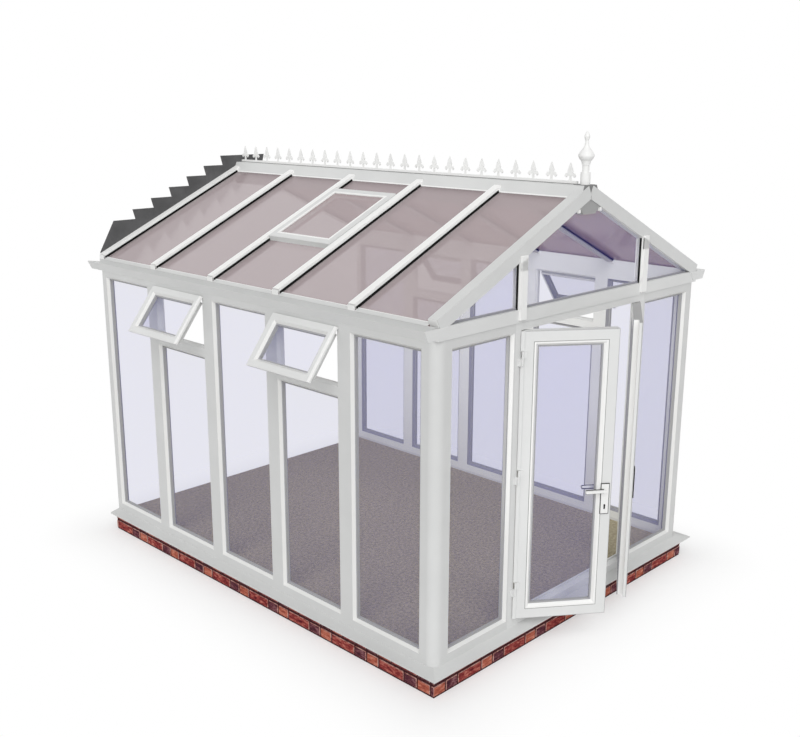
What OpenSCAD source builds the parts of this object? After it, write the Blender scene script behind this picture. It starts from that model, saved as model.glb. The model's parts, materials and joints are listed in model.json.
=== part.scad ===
// Gable-fronted conservatory: brick plinth, white plastic frames, a glazed
// pitched roof with a ridge, and a pair of outward-opening doors in the gable.
// X runs along the front, Y from the doors to the house, Z up.
// The origin is the middle of the base, at ground level.

/* [Base] */
// Width of the brick base, across the front
base_w = 2890; // [2600:10:3400]
// Length of the brick base, from the front to the house
base_l = 3650; // [3000:10:4400]
// Height of the brick base, two courses
base_h = 150; // [75:75:300]
// Thickness of the brick walls
brick_t = 215; // [150:5:300]

/* [Cill] */
// How far the cill stands out past the bricks
cill_out = 52; // [30:1:80]
// Height of the cill under the frames
cill_h = 24; // [18:1:40]
// Height of the cill's thin front edge
cill_nose = 10; // [6:1:14]
// How far the drip under the front edge hangs below the brick top
cill_drip = 3; // [1:1:8]
// Depth of the drip, front to back
cill_drip_d = 12; // [8:1:20]

/* [Window frames] */
// How far the frames stand back from the brick face
frame_in = 28; // [15:1:50]
// Depth of the frames, outside to inside
frame_d = 65; // [60:1:80]
// Height of the frames
frame_h = 2036; // [1900:1:2200]
// Width of a frame bar seen from outside
sight = 58; // [45:1:75]
// Width of the sloped bead beside the glass
bead_w = 15; // [10:1:20]
// Thickness of the sealed glass units
glass_t = 24; // [20:1:32]
// Number of windows along each side
side_bays = 5; // [3:2:7]
// Height of the transom's top above the frame's foot
transom_z = 1612; // [1400:1:1700]
// Height of the transom
transom_h = 60; // [50:1:80]

/* [Fanlights] */
// Angle that the top-hung sashes stand open
fan_open = 37; // [20:1:50]
// Width of a sash bar seen from outside
sash_sight = 46; // [35:1:60]
// Depth of a sash
sash_d = 60; // [50:1:65]
// How far a sash laps over its frame
sash_lap = 10; // [6:1:14]
// Thickness of the lapping flange
sash_lip = 18; // [12:1:22]
// Gap between a sash and the beads of its frame
sash_gap = 4; // [3:1:6]

/* [Doors] */
// Distance from the brick corner to the end of the front windows
door_x = 773; // [600:1:900]
// How far the door frame is let into the front windows' bars
door_lap = 44; // [30:1:45]
// Width of a door frame bar
door_sight = 50; // [45:1:60]
// Gap between a door and its frame
door_gap = 5; // [5:1:8]
// Gap between the two doors when shut
meet_gap = 10; // [10:1:14]
// Width of the meeting bar on the right door's free edge
meet_bar_w = 88; // [70:1:100]
// Thickness of the meeting bar
meet_bar_t = 22; // [18:1:26]
// Height of the meeting bar's foot above the door's foot
meet_bar_up = 30; // [10:1:40]
// Depth of a door
door_d = 60; // [55:1:62]
// How far a shut door stands proud of the frames
door_proud = 10; // [6:1:14]
// Width of a door's frame bars
stile = 80; // [70:1:95]
// How far the door stops reach past the frame bar
stop_w = 12; // [8:1:16]
// Angle that the left door stands open
left_open = 37; // [0:1:60]
// Angle that the right door stands open
right_open = 33; // [0:1:60]
// Height of the lowest hinge above the door's foot
hinge_z = 170; // [120:1:250]
// Distance between hinges
hinge_step = 770; // [600:1:800]
// Height of one hinge knuckle
knuckle_h = 45; // [35:1:55]
// Radius of a hinge knuckle
knuckle_r = 7; // [6:0.5:8]
// Distance from the hinge pin to the door's face
hinge_out = 8; // [8:0.5:9]
// Length of a hinge's flag beside its pin
flag_w = 26; // [20:1:32]

/* [Handle] */
// Height of the lever above the door's foot
lever_z = 866; // [780:1:950]
// Distance from the door's free edge to the spindle
lever_in = 44; // [40:1:60]
// Length of the lever
lever_l = 135; // [110:1:145]
// Height of the lever bar
lever_h = 18; // [14:1:22]
// Thickness of the lever bar
lever_t = 12; // [10:1:15]
// Distance from the door's face to the lever
lever_out = 16; // [14:1:50]
// Radius of the lever's spindle
spindle_r = 8; // [7:0.5:9]
// Gap round the spindle inside the door
bore_gap = 4; // [2:0.5:6]
// Width of the handle plates
plate_w = 50; // [38:1:60]
// Height of the handle plates
plate_h = 200; // [180:1:240]
// Thickness of the handle plates
plate_t = 8; // [6:1:10]
// Height of a plate above the spindle
plate_over = 45; // [35:1:60]
// Height of the keyhole's round above the plate's foot
key_z = 57; // [35:1:65]
// Radius of the keyhole's round
key_r = 6.5; // [6:0.5:9]
// Width of the keyhole below its round
key_w = 11; // [6:1:12]
// Reach of the keyhole below the middle of its round
key_l = 27; // [15:1:30]

/* [Roof] */
// Pitch of the roof
pitch = 25; // [15:1:32]
// Height of the glass above the frames, at the frames' outer face
eaves_rise = 90; // [80:1:110]
// Distance from the brick face to the lower edge of the roof glass
glass_start = 14; // [8:1:20]
// Distance from the brick face to the lower end of the roof bars
bar_start = 33; // [30:1:36]
// Width of a roof bar's cap
cap_w = 60; // [50:1:70]
// Height of a roof bar's cap above the glass
cap_h = 34; // [25:1:40]
// Thickness of a roof bar between the panes
web_w = 16; // [12:1:20]
// Width of a roof bar below the glass
flange_w = 50; // [40:1:60]
// Depth of a roof bar below the glass
flange_h = 25; // [20:1:35]
// Distance from the front to the middle of the first roof bar
bar_first = 720; // [600:1:760]
// Distance between the roof bars
bar_step = 721; // [600:1:760]
// Distance from the brick face to the gable's face
gable_in = 22; // [10:1:28]
// Height of the front rafters above the glass
rafter_top = 36; // [30:1:45]
// Height of the beam under the gable
gable_h = 80; // [70:1:100]
// Distance from the brick corner to the middle of a gable upright
upright_x = 770; // [600:1:900]
// Width of a gable upright
upright_w = 57; // [45:1:70]
// Distance from the brick face to the front of the gable uprights
upright_in = 5; // [0:1:10]
// Depth of a gable upright
upright_d = 70; // [60:1:80]
// Height of an upright's foot above the frames
upright_up = 18; // [10:1:40]

/* [Ridge] */
// Half the width of the ridge cap at its foot
ridge_foot = 101; // [90:1:120]
// Half the width of the ridge cap's flat top
ridge_flat = 65; // [50:1:75]
// Height of the ridge cap's top above its foot
ridge_rise = 79; // [70:1:95]
// Distance from the brick face to the ridge cap's front end
ridge_in = 30; // [28:1:40]
// Half the width of the ridge beam at its shoulders
beam_half = 103; // [90:1:120]
// Half the width of the ridge beam's underside
beam_foot = 67; // [50:1:80]
// Height of the ridge beam's sides
beam_side = 46; // [35:1:60]
// Thickness of the rib that carries the ridge cap
rib_w = 40; // [30:1:50]
// Height of the notch between the rafters, above their underside
notch_rise = 26; // [15:1:30]
// Number of spears along the ridge
spears = 24; // [10:1:30]
// Distance from the front to the first spear
spear_first = 189; // [160:1:240]
// Height of a spear above the ridge strip
spear_h = 115; // [90:1:140]
// Thickness of a spear
spear_t = 8; // [5:1:10]
// Height of the strip that carries the spears
strip_h = 20; // [12:1:26]
// Width of that strip
strip_w = 18; // [14:1:24]
// Gap between the cresting and the flashing
crest_gap = 1; // [0.5:0.5:30]
// Distance from the brick face to the middle of the finial
finial_in = 73; // [65:1:90]
// Height of the finial
finial_h = 337; // [280:1:380]

/* [Roof vent] */
// Distance from the brick face to the lower edge of the roof vent
vent_start = 530; // [450:1:600]
// Length of the roof vent, measured level
vent_l = 640; // [500:1:680]
// Gap between the roof vent and the caps beside it
vent_gap = 5.5; // [2:0.5:12]
// Height of the vent's frame above the glass
vent_h = 41; // [35:1:50]
// Width of the vent's frame
vent_bar = 60; // [45:1:75]
// Depth of the vent's glass below the top of its frame
vent_sink = 8; // [4:1:15]

/* [Gutter] */
// How far the gutter's rim stands out past the bricks
gutter_out = 92; // [80:1:120]
// How far the gutter's bottom stands out past the bricks
gutter_foot = 60; // [40:1:75]
// Height of the gutter's bottom above the frames
gutter_up = 14; // [10:1:20]
// Height of the gutter
gutter_h = 63; // [50:1:68]
// Thickness of the gutter
gutter_t = 4; // [3:1:5]
// Thickness of the end plate at the front
plate_end = 6; // [4:1:6]
// How far the end plate reaches in from the brick face
plate_in = 112; // [100:1:130]

/* [Flashing] */
// Thickness of the lead flashing
flash_t = 3; // [2:1:5]
// Number of steps on each side
flash_steps = 6; // [4:1:6]
// Distance from the brick face to the first step
flash_x = 158; // [120:1:200]
// Height of the first step above the glass below it
flash_up = 219; // [200:1:240]
// Length from one step to the next
flash_run = 175.5; // [160:0.5:190]
// Height from one step to the next
flash_rise = 78.6; // [70:0.1:85]
// How far each step overhangs the one below
flash_lap = 22; // [10:1:30]
// Distance from the lower edge of the roof glass to the flashing's foot
flash_in = 10; // [5:1:18]
// Height of the flashing above the last roof bar's cap, at its lower end
flash_over = 8; // [5:1:15]

/* [Hidden] */
$fn = 48;
white = "#DCDCDC";
brick = "#9A4B3A";
slab = "#9C9284";
pane = [0.80, 0.81, 0.89, 0.4];
lead = "#555555";
steel = "#C8C8C8";
eps = 1;

half_w = base_w / 2;
half_l = base_l / 2;
cill_top = base_h + cill_h;
frame_top = cill_top + frame_h;
wall_in = frame_in + frame_d;
bay_w = (base_l - wall_in) / side_bays;
glass_edge = sight + bead_w;

// A vertical step of v on the roof is v * cos(pitch) square to the glass
slope = tan(pitch);
glass_v = glass_t / cos(pitch);
under_v = glass_v + flange_h / cos(pitch);
roof_l = base_l - flash_t;
roof_apex = roof_z(half_w);
rafter_w = wall_in - gable_in;
ridge_z = roof_z(half_w - ridge_foot);
ridge_top = ridge_z + ridge_rise;
ridge_lean = (ridge_foot - ridge_flat) / ridge_rise;
notch_z = roof_apex - under_v + notch_rise;
bar_last = roof_l - cap_w / 2;
bar_mids = concat([for (i = [0 : 3]) bar_first + i * bar_step], [bar_last]);

frame_x = door_x - door_lap;
door_w = (base_w - 2 * frame_x - 2 * door_sight - 2 * door_gap - meet_gap - meet_bar_w) / 2;
door_h = frame_h - 2 * door_sight - 2 * door_gap;
// Hinge pin, from the left brick corner, in the middle of the gap
pin_x = frame_x + door_sight + door_gap / 2;
pin_in = frame_in - door_proud - hinge_out;
pin_gap = 0.3;
// Clearance between sloping faces that lie on each other
fit = 0.05;

// Height of the glass's top face at u from the brick face
function roof_z(u) = frame_top + eaves_rise + slope * (u - frame_in);
// Point at u on the glass, moved t square to the slope
function on_slope(u, t) = [u - t * sin(pitch), roof_z(u) + t * cos(pitch)];
// Where a face at v above the glass meets the ridge cap's side
function ridge_meet(v) = let (rise = v / (1 - slope * ridge_lean))
  [half_w - ridge_foot + ridge_lean * rise - fit, ridge_z + rise];
// Where a face at v above the glass meets the notch between the rafters
function notch_meet(v) = let (z = (roof_apex + v + slope * slope * notch_z) / (1 + slope * slope))
  [half_w - slope * (z - notch_z), z];
// Point at u on the underside of the rafters
function under(u) = [u, roof_z(u) - under_v];

// Outline in u and z, carried from d0 to d1 behind the front brick face
module span(d0, d1) {
  translate([-half_w, d1 - half_l, 0]) rotate([90, 0, 0]) linear_extrude(height = d1 - d0) children();
}

module on_right() {
  mirror([1, 0, 0]) children();
}

// Left wall: x runs from the house to the front, y from outside to inside
module on_left_wall() {
  translate([frame_in - half_w, half_l, cill_top]) rotate([0, 0, -90]) children();
}

module on_front() {
  translate([-half_w, frame_in - half_l, cill_top]) children();
}

// Box from one corner to the other
module block(a, b) {
  translate(a) cube(b - a);
}

// ---- base ----

module floor() {
  color(slab) block([brick_t - half_w, brick_t - half_l, 0], [half_w - brick_t, half_l, base_h]);
}

module front_plinth() {
  color(brick) block([-half_w, -half_l, 0], [half_w, brick_t - half_l, base_h]);
}

module left_plinth() {
  color(brick) block([-half_w, brick_t - half_l, 0], [brick_t - half_w, half_l, base_h]);
}

// Section of the cill, from its front edge inwards
module cill_outline() {
  nose_z = base_h - cill_drip;
  polygon([[-cill_out, nose_z], [cill_drip_d - cill_out, nose_z], [cill_drip_d - cill_out, base_h],
    [wall_in, base_h], [wall_in, cill_top], [frame_in, cill_top], [-cill_out, nose_z + cill_nose]]);
}

// Cill running back from the front, mitred at the front corner
module side_cill() {
  color(white) intersection() {
    span(-cill_out, base_l) cill_outline();
    linear_extrude(height = cill_top + eps)
      polygon([[-half_w - cill_out, -half_l - cill_out], [wall_in - half_w, wall_in - half_l],
        [wall_in - half_w, half_l], [-half_w - cill_out, half_l]]);
  }
}

module front_cill() {
  color(white) intersection() {
    translate([half_w + cill_out, -half_l, 0]) rotate([90, 0, -90])
      linear_extrude(height = base_w + 2 * cill_out) mirror([1, 0, 0]) cill_outline();
    linear_extrude(height = cill_top + eps)
      polygon([[-half_w - cill_out, -half_l - cill_out], [half_w + cill_out, -half_l - cill_out],
        [half_w - wall_in, wall_in - half_l], [wall_in - half_w, wall_in - half_l]]);
  }
}

// ---- window frames ----

// Section of a frame bar: edge at x = 0, outer face at y = 0
module bar_outline(face, depth) {
  bead_d = (depth - glass_t) / 2;
  polygon([[0, 0], [face, 0], [face + bead_w, bead_d], [face + bead_w, depth - bead_d],
    [face, depth], [0, depth]]);
}

// Four bars with the section given as a child, joined into a frame of w by h
module ring(w, h) {
  for (side = [0, 1]) translate([side * w, 0, 0]) mirror([side, 0, 0]) linear_extrude(height = h) children();
  for (side = [0, 1]) translate([0, 0, side * h]) mirror([0, 0, side])
    translate([w, 0, 0]) rotate([0, -90, 0]) linear_extrude(height = w) children();
}

// Cross bar with a bead above and below, its middle at z = 0
module cross_bar(w, h, depth) {
  for (side = [0, 1]) mirror([0, 0, side])
    translate([w, 0, 0]) rotate([0, -90, 0]) linear_extrude(height = w) bar_outline(h / 2, depth);
}

module window(w) {
  ring(w, frame_h) bar_outline(sight, frame_d);
}

module opening_window(w) {
  window(w);
  translate([sight, 0, transom_z - transom_h / 2]) cross_bar(w - 2 * sight, transom_h, frame_d);
}

// Sealed unit that fills a frame of w by h with bars of face width
module unit(w, h, face, depth) {
  edge = face + bead_w;
  block([edge, (depth - glass_t) / 2, edge], [w - edge, (depth + glass_t) / 2, h - edge]);
}

module side_frames(first) {
  color(white) on_left_wall() for (i = [first : 2 : side_bays - 1]) translate([i * bay_w, 0, 0]) children();
}

module fixed_windows() {
  side_frames(0) window(bay_w);
}

module opening_windows() {
  side_frames(1) opening_window(bay_w);
}

// ---- fanlights ----

fan_w = bay_w - 2 * sight + 2 * sash_lap;
fan_h = frame_h - sight - transom_z + 2 * sash_lap;

// Hangs a closed sash, drawn down from its top edge, from the head of its frame
module hung() {
  translate([sight - sash_lap, 0, frame_h - sight + sash_lap]) rotate([-fan_open, 0, 0])
    translate([0, -sash_lip, -fan_h]) children();
}

// Body that fits between the frame's beads, with a flange that laps over the frame
module sash() {
  inner = sash_lap + bead_w + sash_gap;
  ring(fan_w, fan_h) square([sash_sight, sash_lip]);
  translate([inner, 0, inner]) ring(fan_w - 2 * inner, fan_h - 2 * inner)
    bar_outline(sash_sight - inner, sash_d);
}

module fanlights() {
  side_frames(1) hung() sash();
}

module window_glass() {
  color(pane) on_left_wall() for (i = [0 : side_bays - 1]) translate([i * bay_w, 0, 0]) {
    if (i % 2 == 0) unit(bay_w, frame_h, sight, frame_d);
    if (i % 2 == 1) {
      unit(bay_w, transom_z - transom_h + sight, sight, frame_d);
      hung() unit(fan_w, fan_h, sash_sight, sash_d);
    }
  }
}

// ---- front ----

front_w = door_x - wall_in;

// Quarter-round post that joins the side frames to the front frames
module corner_post() {
  color(white) translate([wall_in - half_w, wall_in - half_l, cill_top]) intersection() {
    cylinder(h = frame_h, r = frame_d, $fn = 64);
    translate([-frame_d, -frame_d, 0]) cube([frame_d, frame_d, frame_h]);
  }
}

module front_windows() {
  color(white) for (side = [0, 1]) mirror([side, 0, 0])
    on_front() translate([wall_in, 0, 0]) intersection() {
      window(front_w);
      block([0, 0, 0], [front_w - door_lap, frame_d, frame_h]);
    }
}

module front_glass() {
  color(pane) for (side = [0, 1]) mirror([side, 0, 0])
    on_front() translate([wall_in, 0, 0]) unit(front_w, frame_h, sight, frame_d);
}

// Section of the door frame, with the stop that the doors shut against
module door_frame_outline() {
  stop_y = door_d - door_proud + door_gap;
  polygon([[0, 0], [door_sight, 0], [door_sight, stop_y], [door_sight + stop_w, stop_y],
    [door_sight + stop_w, frame_d], [0, frame_d]]);
}

// One knuckle and its flag, the flag running to x and y from the pin
module knuckle(z, x, y) {
  translate([0, 0, z]) {
    cylinder(h = knuckle_h, r = knuckle_r);
    block([min(0, x), 0, 0], [max(0, x), y, knuckle_h]);
  }
}

// Frame of the left hinge pin, at the door's foot
module at_pin() {
  translate([pin_x - half_w, pin_in - half_l, cill_top + door_sight + door_gap]) children();
}

module door_frame() {
  color(white) {
    on_front() translate([frame_x, 0, 0]) ring(base_w - 2 * frame_x, frame_h) door_frame_outline();
    for (side = [0, 1]) mirror([side, 0, 0]) at_pin()
      for (i = [0 : 2]) knuckle(hinge_z + i * hinge_step, -flag_w, hinge_out + door_proud);
  }
}

// A door's own frame: x from its hinged edge, y from its face
module in_door(angle) {
  at_pin() rotate([0, 0, -angle]) translate([door_gap / 2, hinge_out, 0]) children();
}

module at_spindle() {
  translate([door_w - lever_in, 0, lever_z]) rotate([-90, 0, 0]) children();
}

module door_leaf() {
  ring(door_w, door_h) bar_outline(stile, door_d);
}

// Strip that closes the gap between the shut doors
module meeting_bar() {
  block([door_w - stile / 2, 0, meet_bar_up], [door_w + meet_bar_w, meet_bar_t, door_h]);
}

module door_hinges(angle) {
  at_pin() rotate([0, 0, -angle]) for (i = [0 : 2])
    knuckle(hinge_z + i * hinge_step + knuckle_h + pin_gap, flag_w, hinge_out);
}

module left_door() {
  color(white) {
    in_door(left_open) difference() {
      door_leaf();
      at_spindle() translate([0, 0, -eps]) cylinder(h = door_d + 2 * eps, r = spindle_r + bore_gap);
    }
    door_hinges(left_open);
  }
}

module right_door() {
  color(white) on_right() {
    in_door(right_open) {
      door_leaf();
      meeting_bar();
    }
    door_hinges(right_open);
  }
}

module door_glass(angle) {
  color(pane) in_door(angle) unit(door_w, door_h, stile, door_d);
}

// Keyhole for a lock cylinder, round above and narrow below
module keyhole() {
  translate([0, plate_h - plate_over - key_z, -eps]) {
    cylinder(h = plate_t + 2 * eps, r = key_r);
    translate([-key_w / 2, 0, 0]) cube([key_w, key_l, plate_t + 2 * eps]);
  }
}

// Plate seen from above its face, its lever hole at the origin and its foot at +y
module handle_plate() {
  difference() {
    translate([-plate_w / 2, -plate_over, 0]) cube([plate_w, plate_h, plate_t]);
    translate([0, 0, -eps]) cylinder(h = plate_t + 2 * eps, r = spindle_r + pin_gap);
    keyhole();
  }
}

module handle_plates() {
  color(steel) in_door(left_open) for (y = [-plate_t, door_d]) translate([0, y, 0]) at_spindle() handle_plate();
}

// Lever bar with round ends, pointing to the hinged side
module lever_bar() {
  rotate([0, 0, 180]) {
    cylinder(h = lever_t, r = lever_h / 2);
    translate([0, -lever_h / 2, 0]) cube([lever_l - lever_h / 2, lever_h, lever_t]);
    translate([lever_l - lever_h / 2, 0, 0]) cylinder(h = lever_t, r = lever_h / 2);
  }
}

module lever_handle() {
  reach = lever_out + lever_t;
  color(steel) in_door(left_open) {
    translate([0, -reach, 0]) at_spindle() cylinder(h = door_d + 2 * reach, r = spindle_r);
    for (y = [-reach, door_d + lever_out]) translate([0, y, 0]) at_spindle() lever_bar();
  }
}

// ---- eaves and gable ----

module eaves_beam() {
  color(white) span(wall_in, base_l)
    polygon([[frame_in, frame_top], [wall_in, frame_top],
      [wall_in, roof_z(wall_in) - glass_v - fit], [frame_in, roof_z(frame_in) - glass_v - fit]]);
}

module gutter() {
  foot = frame_top + gutter_up;
  rim = foot + gutter_h;
  back = roof_z(frame_in - gutter_t) - glass_v - fit;
  lean = (gutter_out - gutter_foot) / gutter_h;
  color(white) {
    // Trough
    span(gable_in, base_l)
      polygon([[-gutter_out, rim], [-gutter_foot, foot], [frame_in, foot], [frame_in, back],
        [frame_in - gutter_t, back], [frame_in - gutter_t, foot + gutter_t],
        [-gutter_foot + gutter_t - lean * gutter_t, foot + gutter_t], [-gutter_out + gutter_t, rim]]);
    // Closed end at the house
    span(base_l - gutter_t, base_l)
      polygon([[-gutter_out, rim], [-gutter_foot, foot], [frame_in, foot], [frame_in, back],
        [-gutter_out + gutter_t, rim]]);
    // End plate at the front, in line with the gable
    span(gable_in - plate_end, gable_in)
      polygon([[-gutter_out, rim], [-gutter_foot, foot],
        [plate_in - lean * gutter_h, foot], [plate_in, rim]]);
  }
}

gable_low = (gable_h + under_v - eaves_rise) / slope + frame_in;

module gable_beam() {
  color(white) span(gable_in, wall_in)
    polygon([[frame_in, frame_top], [base_w - frame_in, frame_top],
      [base_w - frame_in, under(frame_in)[1]], [base_w - gable_low, frame_top + gable_h],
      [gable_low, frame_top + gable_h], under(frame_in)]);
}

module upright_outline(z) {
  a = upright_x - upright_w / 2;
  b = upright_x + upright_w / 2;
  polygon([[a, z], [b, z], under(b), under(a)]);
}

module gable_uprights() {
  color(white) for (side = [0, 1]) mirror([side, 0, 0]) {
    span(upright_in, gable_in) upright_outline(frame_top + upright_up);
    span(gable_in, upright_in + upright_d) upright_outline(frame_top + gable_h);
  }
}

module gable_glass() {
  mid = (gable_in + wall_in) / 2;
  top = frame_top + gable_h;
  a = upright_x - upright_w / 2;
  b = upright_x + upright_w / 2;
  beam_z = under(half_w - beam_half)[1] - beam_side;
  color(pane) {
    for (side = [0, 1]) mirror([side, 0, 0])
      span(mid - glass_t / 2, mid + glass_t / 2) polygon([[gable_low, top], [a, top], under(a)]);
    span(mid - glass_t / 2, mid + glass_t / 2)
      polygon([[b, top], [base_w - b, top], [base_w - b, under(b)[1]],
        [half_w + beam_half, under(half_w - beam_half)[1]], [half_w + beam_foot, beam_z],
        [half_w - beam_foot, beam_z], under(half_w - beam_half), under(b)]);
  }
}

// ---- roof ----

// Front rafter: full height in front of the ridge cap, and cut under it behind
module front_rafter() {
  top_v = rafter_top / cos(pitch);
  foot = [[half_w, under(half_w)[1] + fit], on_slope(bar_start, fit - under_v * cos(pitch)),
    on_slope(bar_start, rafter_top)];
  color(white) {
    span(gable_in, ridge_in) polygon(concat(foot, [notch_meet(top_v), [half_w, notch_z]]));
    span(ridge_in, wall_in) polygon(concat(foot,
      [ridge_meet(top_v), ridge_meet(0), notch_meet(0), [half_w, notch_z]]));
  }
}

module roof_bar(mid) {
  rib = half_w - rib_w / 2;
  // Cap over the panes
  span(mid - cap_w / 2, mid + cap_w / 2)
    polygon([on_slope(bar_start, fit), ridge_meet(fit / cos(pitch)),
      ridge_meet(cap_h / cos(pitch)), on_slope(bar_start, cap_h)]);
  // Web, from the top of the cap to the foot of the flange
  span(mid - web_w / 2, mid + web_w / 2)
    polygon([on_slope(bar_start, cap_h), on_slope(bar_start, -glass_t),
      [wall_in, roof_z(wall_in) - glass_v], under(wall_in), under(rib), [rib, roof_z(rib)],
      ridge_meet(0), ridge_meet(cap_h / cos(pitch))]);
  // Flange under the panes, from the eaves beam to the ridge
  span(mid - flange_w / 2, mid + flange_w / 2)
    polygon([[wall_in, roof_z(wall_in) - glass_v - fit], [rib, roof_z(rib) - glass_v - fit],
      under(rib), under(wall_in)]);
}

module roof_bars() {
  color(white) for (mid = bar_mids) roof_bar(mid);
}

module roof_pane(d0, d1) {
  rib = half_w - rib_w / 2;
  span(d0, d1)
    polygon([[glass_start, roof_z(glass_start)], [rib, roof_z(rib)],
      [rib, roof_z(rib) - glass_v], [glass_start, roof_z(glass_start) - glass_v]]);
}

module roof_glass() {
  starts = concat([wall_in], [for (i = [0 : 3]) bar_mids[i] + web_w / 2]);
  for (i = [0 : 4]) roof_pane(starts[i], bar_mids[i] - web_w / 2);
}

vent_mid = (bar_mids[1] + bar_mids[2]) / 2;
vent_w = bar_step - cap_w - 2 * vent_gap;

// Block through the roof, in from the vent's outer edge by a margin
module vent_block(margin, low, high) {
  a = vent_start + margin * cos(pitch);
  b = vent_start + vent_l - margin * cos(pitch);
  span(vent_mid - vent_w / 2 + margin, vent_mid + vent_w / 2 - margin)
    polygon([on_slope(a, low), on_slope(b, low), on_slope(b, high), on_slope(a, high)]);
}

module left_roof_glass() {
  color(pane) {
    difference() {
      roof_glass();
      vent_block(vent_bar, -glass_t - eps, eps);
    }
    vent_block(vent_bar + fit, vent_h - vent_sink - glass_t, vent_h - vent_sink);
  }
}

module roof_vent() {
  color(white) difference() {
    vent_block(0, fit, vent_h);
    vent_block(vent_bar, -eps, vent_h + eps);
  }
}

// ---- ridge ----

module ridge_beam() {
  rib = half_w - rib_w / 2;
  side = under(half_w - beam_half);
  low = side[1] - beam_side;
  color(white) {
    span(frame_in, roof_l)
      polygon([side, under(half_w), [half_w + beam_half, side[1]], [half_w + beam_foot, low],
        [half_w - beam_foot, low]]);
    // Rib between the panes, from the beam's foot up to the ridge cap
    span(wall_in, roof_l)
      polygon([[rib, low], [rib + rib_w, low],
        [rib + rib_w, roof_z(rib)], [half_w, roof_apex], [rib, roof_z(rib)]]);
  }
}

module ridge_cap() {
  color(white) span(ridge_in, roof_l)
    polygon([[half_w - ridge_foot, ridge_z + fit], [half_w, roof_apex + fit],
      [half_w + ridge_foot, ridge_z + fit],
      [half_w + ridge_flat, ridge_top], [half_w - ridge_flat, ridge_top]]);
}

spear_arm = 0.38 * spear_h;

// Spear head with two drooping arms, foot at the origin, in y and z
module spear() {
  h = spear_h;
  rotate([90, 0, 90]) translate([0, 0, -spear_t / 2]) linear_extrude(height = spear_t)
    for (side = [0, 1]) mirror([side, 0])
      polygon([[0, -eps], [0.08 * h, -eps], [0.05 * h, 0.26 * h], [0.2 * h, 0.25 * h], [0.28 * h, 0.17 * h],
        [spear_arm, 0.27 * h], [0.3 * h, 0.4 * h], [0.15 * h, 0.46 * h], [0.18 * h, 0.56 * h],
        [0.1 * h, 0.78 * h], [0, h]]);
}

module cresting() {
  last = roof_l - crest_gap - spear_arm;
  step = (last - spear_first) / (spears - 1);
  color(white) {
    block([-strip_w / 2, (spear_first + finial_in) / 2 - half_l, ridge_top],
      [strip_w / 2, roof_l - crest_gap - half_l, ridge_top + strip_h]);
    for (i = [0 : spears - 1])
      translate([0, spear_first + i * step - half_l, ridge_top + strip_h]) spear();
  }
}

module finial() {
  h = finial_h;
  color(white) translate([0, finial_in - half_l, ridge_top]) rotate_extrude($fn = 48)
    polygon([[0, 0], [0.094 * h, 0], [0.094 * h, 0.234 * h], [0.065 * h, 0.234 * h], [0.065 * h, 0.368 * h],
      [0.08 * h, 0.374 * h], [0.08 * h, 0.392 * h], [0.094 * h, 0.445 * h], [0.13 * h, 0.485 * h],
      [0.149 * h, 0.52 * h], [0.153 * h, 0.542 * h], [0.147 * h, 0.57 * h], [0.116 * h, 0.617 * h],
      [0.067 * h, 0.68 * h], [0.039 * h, 0.742 * h], [0.033 * h, 0.82 * h], [0.052 * h, 0.875 * h],
      [0.053 * h, 0.9 * h], [0.036 * h, 0.94 * h], [0, h]]);
}

// ---- flashing ----

module flashing() {
  z0 = roof_z(flash_x) + flash_up;
  steps = [for (i = [0 : flash_steps - 1], end = [0, 1])
    [flash_x + i * flash_run + end * (flash_run + flash_lap), z0 + i * flash_rise]];
  top = [flash_x + flash_steps * flash_run, z0 + flash_steps * flash_rise];
  foot = glass_start + flash_in;
  left = concat([[foot, roof_z(foot)], on_slope(bar_start + flash_over, cap_h + flash_over)], steps, [top]);
  right = [for (i = [len(left) - 1 : -1 : 0]) [base_w - left[i][0], left[i][1]]];
  color(lead) span(roof_l, base_l) polygon(concat(left, right, [[half_w, roof_apex]]));
}

floor();
front_plinth();
left_plinth();
on_right() left_plinth();  // right_plinth
front_cill();
side_cill();  // left_cill
on_right() side_cill();  // right_cill
corner_post();  // left_corner_post
on_right() corner_post();  // right_corner_post
fixed_windows();  // left_fixed_windows
opening_windows();  // left_opening_windows
fanlights();  // left_fanlights
window_glass();  // left_window_glass
on_right() fixed_windows();  // right_fixed_windows
on_right() opening_windows();  // right_opening_windows
on_right() fanlights();  // right_fanlights
on_right() window_glass();  // right_window_glass
front_windows();
front_glass();
door_frame();
left_door();
door_glass(left_open);  // left_door_glass
handle_plates();
lever_handle();
right_door();
on_right() door_glass(right_open);  // right_door_glass
eaves_beam();  // left_eaves_beam
on_right() eaves_beam();  // right_eaves_beam
gutter();  // left_gutter
on_right() gutter();  // right_gutter
gable_beam();
gable_uprights();
gable_glass();
front_rafter();  // left_front_rafter
on_right() front_rafter();  // right_front_rafter
ridge_beam();
roof_bars();  // left_roof_bars
on_right() roof_bars();  // right_roof_bars
left_roof_glass();
on_right() color(pane) roof_glass();  // right_roof_glass
roof_vent();
ridge_cap();
cresting();
finial();
flashing();
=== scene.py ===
import json
import math
import bmesh
import bpy
from mathutils import Euler, Matrix, Vector


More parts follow.
